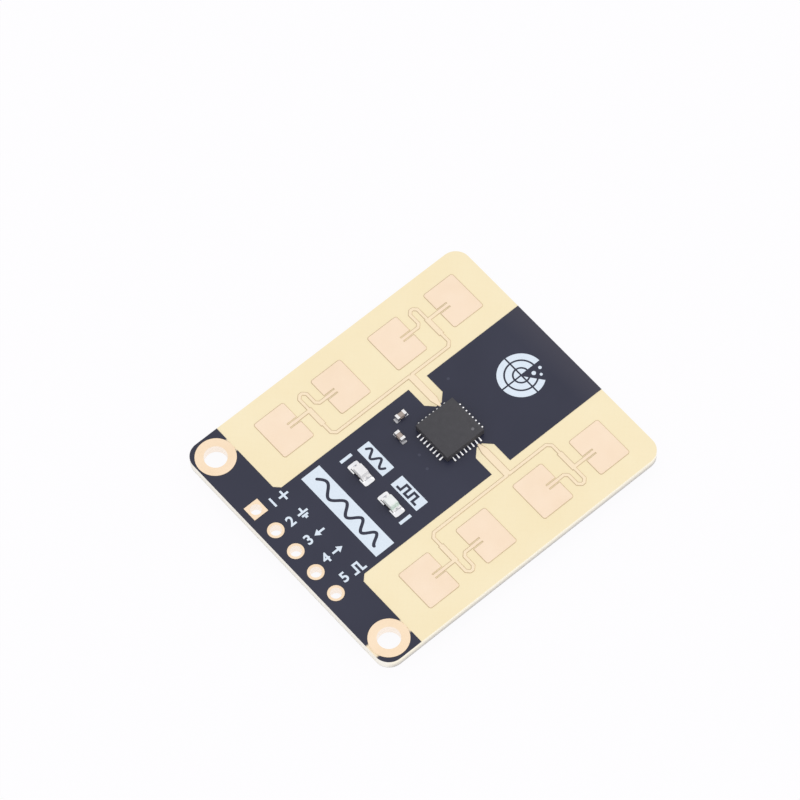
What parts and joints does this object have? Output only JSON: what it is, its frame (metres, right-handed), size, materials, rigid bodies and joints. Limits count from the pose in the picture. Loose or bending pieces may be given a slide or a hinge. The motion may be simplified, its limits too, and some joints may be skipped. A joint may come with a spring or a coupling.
{
  "type": "microwave radar sensor module",
  "caption": "Flat radar presence-sensor circuit board with patch antenna arrays on both sides of a black strip, a square chip, indicator LEDs, plated pin holes and mounting holes.",
  "frame": {"origin": "centre of the board's outline, on the plane that the tallest parts on the back stand on", "axes": "+X along the row of pin holes, +Y from the pin edge to the far edge, +Z out of the antenna side"},
  "size_m": [0.026, 0.03, 0.0029],
  "materials": {
    "laminate": "cream glass-reinforced laminate, satin, faint weave",
    "solder_mask": "black solder mask with a soft sheen",
    "antenna_copper": "pale gold-finished etched copper, satin",
    "plated_copper": "gold-finished plated copper, satin",
    "white_print": "white printing ink, matte",
    "solder": "bright reflowed solder",
    "chip_mould": "dark grey moulding compound, fine grain",
    "black_mould": "black moulding compound, fine grain",
    "tinned_lead": "tin-plated copper alloy, satin",
    "end_metal": "tin-plated end metal, satin",
    "resistor_glaze": "black protective glaze on ceramic",
    "capacitor_ceramic": "fired brown-grey ceramic",
    "led_base": "dark resin base",
    "led_die": "light-emitting die",
    "led_lens": "clear, slightly milky epoxy lens",
    "crystal_ceramic": "fired ceramic package",
    "crystal_metal": "nickel-plated lid, satin"
  },
  "bodies": {
    "root": {"substrate": "laminate", "solder_mask_top": "solder_mask", "solder_mask_back": "solder_mask", "antenna_left": "antenna_copper", "antenna_right": "antenna_copper", "mounting_ring_left": "plated_copper", "mounting_ring_right": "plated_copper", "pin_hole_1": "plated_copper", "pin_hole_2": "plated_copper", "pin_hole_3": "plated_copper", "pin_hole_4": "plated_copper", "pin_hole_5": "plated_copper", "copper_pads_top": "plated_copper", "copper_pads_back": "plated_copper", "silkscreen_top": "white_print", "solder_top": "solder", "solder_back": "solder", "radar_chip_body": "chip_mould", "radar_chip_leads": "tinned_lead", "radar_chip_pad": "tinned_lead", "capacitor_1_body": "capacitor_ceramic", "capacitor_1_ends": "end_metal", "capacitor_2_body": "capacitor_ceramic", "capacitor_2_ends": "end_metal", "led_left_base": "led_base", "led_left_terminals": "end_metal", "led_left_die": "led_die", "led_left_lens": "led_lens", "led_right_base": "led_base", "led_right_terminals": "end_metal", "led_right_die": "led_die", "led_right_lens": "led_lens", "regulator_body": "black_mould", "regulator_leads": "tinned_lead", "memory_body": "black_mould", "memory_leads": "tinned_lead", "crystal_base": "crystal_ceramic", "crystal_terminals": "plated_copper", "crystal_lid": "crystal_metal", "input_capacitor_body": "capacitor_ceramic", "input_capacitor_ends": "end_metal", "output_capacitor_body": "capacitor_ceramic", "output_capacitor_ends": "end_metal", "decoupling_capacitor_1_body": "capacitor_ceramic", "decoupling_capacitor_1_ends": "end_metal", "decoupling_capacitor_2_body": "capacitor_ceramic", "decoupling_capacitor_2_ends": "end_metal", "decoupling_capacitor_3_body": "capacitor_ceramic", "decoupling_capacitor_3_ends": "end_metal", "decoupling_capacitor_4_body": "capacitor_ceramic", "decoupling_capacitor_4_ends": "end_metal", "load_capacitor_1_body": "capacitor_ceramic", "load_capacitor_1_ends": "end_metal", "load_capacitor_2_body": "capacitor_ceramic", "load_capacitor_2_ends": "end_metal", "led_resistor_1_body": "resistor_glaze", "led_resistor_1_ends": "end_metal", "led_resistor_2_body": "resistor_glaze", "led_resistor_2_ends": "end_metal"}
  },
  "joints": []
}
